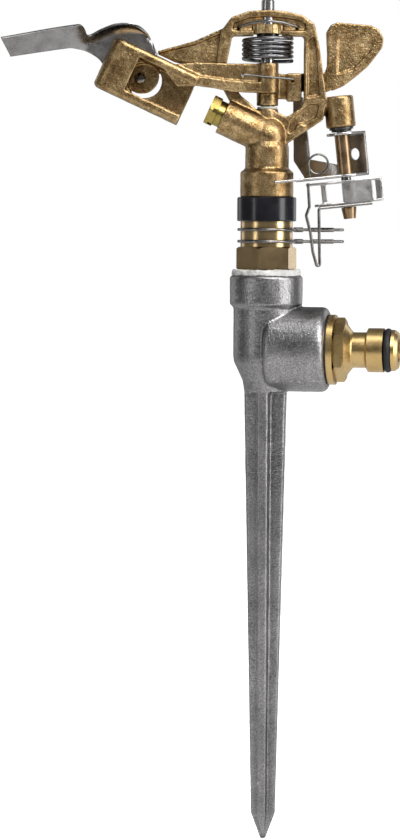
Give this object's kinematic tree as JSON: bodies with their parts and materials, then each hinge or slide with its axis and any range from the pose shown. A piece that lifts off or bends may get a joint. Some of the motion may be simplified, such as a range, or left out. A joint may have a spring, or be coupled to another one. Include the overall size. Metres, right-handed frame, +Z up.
{
  "type": "impact sprinkler on ground spike",
  "caption": "Part-circle impact sprinkler with a swinging arm and reversing gear, on a cast ground spike with a side hose connector.",
  "frame": {"origin": "on the swivel axis at the ground line, where the spike starts under the housing", "axes": "+Z up the swivel axis, +X out along the hose connector"},
  "size_m": [0.1577, 0.0472, 0.3382],
  "materials": {
    "cast_grey": "cast, grey, grainy",
    "rubber": "satin",
    "polished_brass": "turned, polished",
    "ptfe": "matt",
    "nylon": "matt",
    "spring_steel": "drawn wire",
    "cast_brass": "sand cast, aged",
    "black_plastic": "satin",
    "nozzle_brass": "turned, satin",
    "steel_pin": "ground",
    "arm_spring_steel": "dark wire",
    "dark_steel": "dark",
    "bronze": "turned, aged",
    "stainless_sheet": "pressed sheet"
  },
  "bodies": {
    "ground_part": {"spike_housing": "cast_grey", "inlet_gasket": "rubber", "hose_connector": "polished_brass", "connector_oring": "rubber", "bearing_nipple": "polished_brass", "thread_seal": "ptfe", "nipple_washer": "nylon"},
    "upper_stop": {"upper_stop_clip": "spring_steel"},
    "lower_stop": {"lower_stop_clip": "spring_steel"},
    "head": {"sprinkler_body": "cast_brass", "swivel_tube": "polished_brass", "face_seals": "rubber", "swivel_spring": "spring_steel", "dust_sleeve": "black_plastic", "nozzle": "nozzle_brass", "fulcrum_pin": "steel_pin", "pin_washer": "nylon", "arm_spring": "arm_spring_steel", "spring_cap": "cast_brass", "cap_bush": "black_plastic", "cap_ring": "spring_steel", "trip_pin": "steel_pin", "trip_washers": "dark_steel", "trip_nut": "bronze", "lock_plate": "dark_steel"},
    "arm": {"swing_arm": "cast_brass", "arm_bushes": "nylon", "hub_wire": "spring_steel", "splash_vane": "stainless_sheet", "vane_rivet": "stainless_sheet"},
    "reverse_lever": {"reverse_lever": "stainless_sheet", "trip_spacer": "bronze", "toggle_spring": "spring_steel"},
    "trip_lever": {"trip_lever": "stainless_sheet", "trip_feeler": "spring_steel"}
  },
  "joints": [
    {"name": "head_swivel", "type": "hinge", "parent": "ground_part", "child": "head", "pos_m": [0, 0, 0.0695], "axis": [0, 0, 1], "range_deg": [-250, 0]},
    {"name": "arm_swing", "type": "hinge", "parent": "head", "child": "arm", "pos_m": [0, 0, 0.1139], "axis": [0, 0, 1], "range_deg": [0, 100], "stiffness_Nm_per_rad": 0.02, "springref_deg": -28.65},
    {"name": "reverse_lever_pivot", "type": "hinge", "parent": "head", "child": "reverse_lever", "pos_m": [0.02896, 0.00563, 0.1054], "axis": [-0.1026, -0.0199, 0.9945], "range_deg": [0, 14.4]},
    {"name": "trip_lever_pivot", "type": "hinge", "parent": "head", "child": "trip_lever", "pos_m": [0.02896, 0.00563, 0.1054], "axis": [-0.1026, -0.0199, 0.9945], "range_deg": [-24, 0]},
    {"name": "upper_stop_turn", "type": "hinge", "parent": "ground_part", "child": "upper_stop", "pos_m": [0, 0, 0.0647], "axis": [0, 0, 1], "range_deg": [0, 35]},
    {"name": "lower_stop_turn", "type": "hinge", "parent": "ground_part", "child": "lower_stop", "pos_m": [0, 0, 0.06], "axis": [0, 0, 1], "range_deg": [0, 35]}
  ],
  "couplings": [
    {"joint": "trip_lever_pivot", "follows": "reverse_lever_pivot", "ratio": -1.666}
  ]
}
